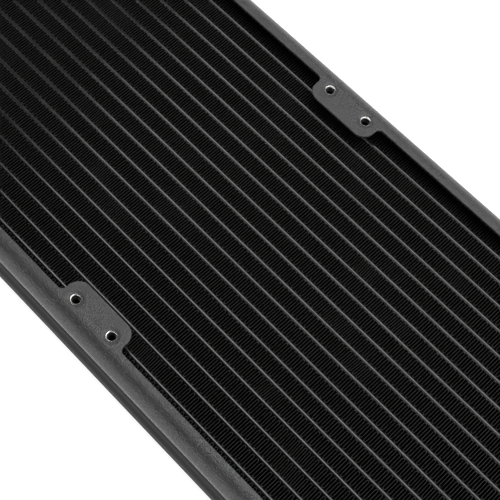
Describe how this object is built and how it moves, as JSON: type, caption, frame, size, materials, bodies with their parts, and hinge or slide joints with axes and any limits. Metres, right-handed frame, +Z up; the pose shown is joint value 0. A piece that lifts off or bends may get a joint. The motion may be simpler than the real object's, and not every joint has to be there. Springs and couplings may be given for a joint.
{
  "type": "liquid cooling radiator",
  "caption": "Slim flat radiator with flat tubes and folded fins between two end tanks, in a rounded frame with fan holes on both faces and threaded ports.",
  "frame": {"origin": "middle of the lower fan face, where the radiator lies on a surface", "axes": "+X along the tubes towards the tank with the two ports, +Y across the tubes, +Z up through the upper fan face"},
  "size_m": [0.29, 0.12, 0.0311],
  "materials": {
    "frame_coat": "fine-grained black powder coat",
    "tank_coat": "fine-grained black powder coat",
    "core_paint": "thin satin black paint",
    "nut_steel": "bare cut thread",
    "port_brass": "bare cut thread, painted collar",
    "plug_finish": "satin black plating",
    "seal_rubber": "matt"
  },
  "bodies": {
    "radiator": {"tube_01": "core_paint", "tube_02": "core_paint", "tube_03": "core_paint", "tube_04": "core_paint", "tube_05": "core_paint", "tube_06": "core_paint", "tube_07": "core_paint", "tube_08": "core_paint", "tube_09": "core_paint", "tube_10": "core_paint", "tube_11": "core_paint", "tube_12": "core_paint", "tube_13": "core_paint", "tube_14": "core_paint", "tube_15": "core_paint", "tube_16": "core_paint", "tube_17": "core_paint", "tube_18": "core_paint", "fin_01": "core_paint", "fin_02": "core_paint", "fin_03": "core_paint", "fin_04": "core_paint", "fin_05": "core_paint", "fin_06": "core_paint", "fin_07": "core_paint", "fin_08": "core_paint", "fin_09": "core_paint", "fin_10": "core_paint", "fin_11": "core_paint", "fin_12": "core_paint", "fin_13": "core_paint", "fin_14": "core_paint", "fin_15": "core_paint", "fin_16": "core_paint", "fin_17": "core_paint", "fin_18": "core_paint", "fin_19": "core_paint", "core_side_plate_near": "core_paint", "core_side_plate_far": "core_paint", "header_plate_inlet": "tank_coat", "header_plate_return": "tank_coat", "inlet_tank": "tank_coat", "return_tank": "tank_coat", "flow_divider": "tank_coat", "top_rail_near": "frame_coat", "top_rail_far": "frame_coat", "bottom_rail_near": "frame_coat", "bottom_rail_far": "frame_coat", "inlet_port": "port_brass", "outlet_port": "port_brass", "bleed_port": "port_brass", "fan_nuts_top": "nut_steel", "fan_nuts_bottom": "nut_steel"},
    "plug_seal": {"bleed_plug_seal": "seal_rubber"},
    "plug": {"bleed_plug": "plug_finish"}
  },
  "joints": [
    {"name": "plug_lift", "type": "slide", "parent": "radiator", "child": "plug_seal", "axis": [0, 0, 1], "range_m": [0, 0.00735]},
    {"name": "plug_turn", "type": "hinge", "parent": "plug_seal", "child": "plug", "pos_m": [-0.13302, 0.036, 0.028], "axis": [0, 0, 1], "range_deg": [0, 1980]}
  ],
  "couplings": [
    {"joint": "plug_turn", "follows": "plug_lift", "rad_per_m": 4699.5}
  ]
}
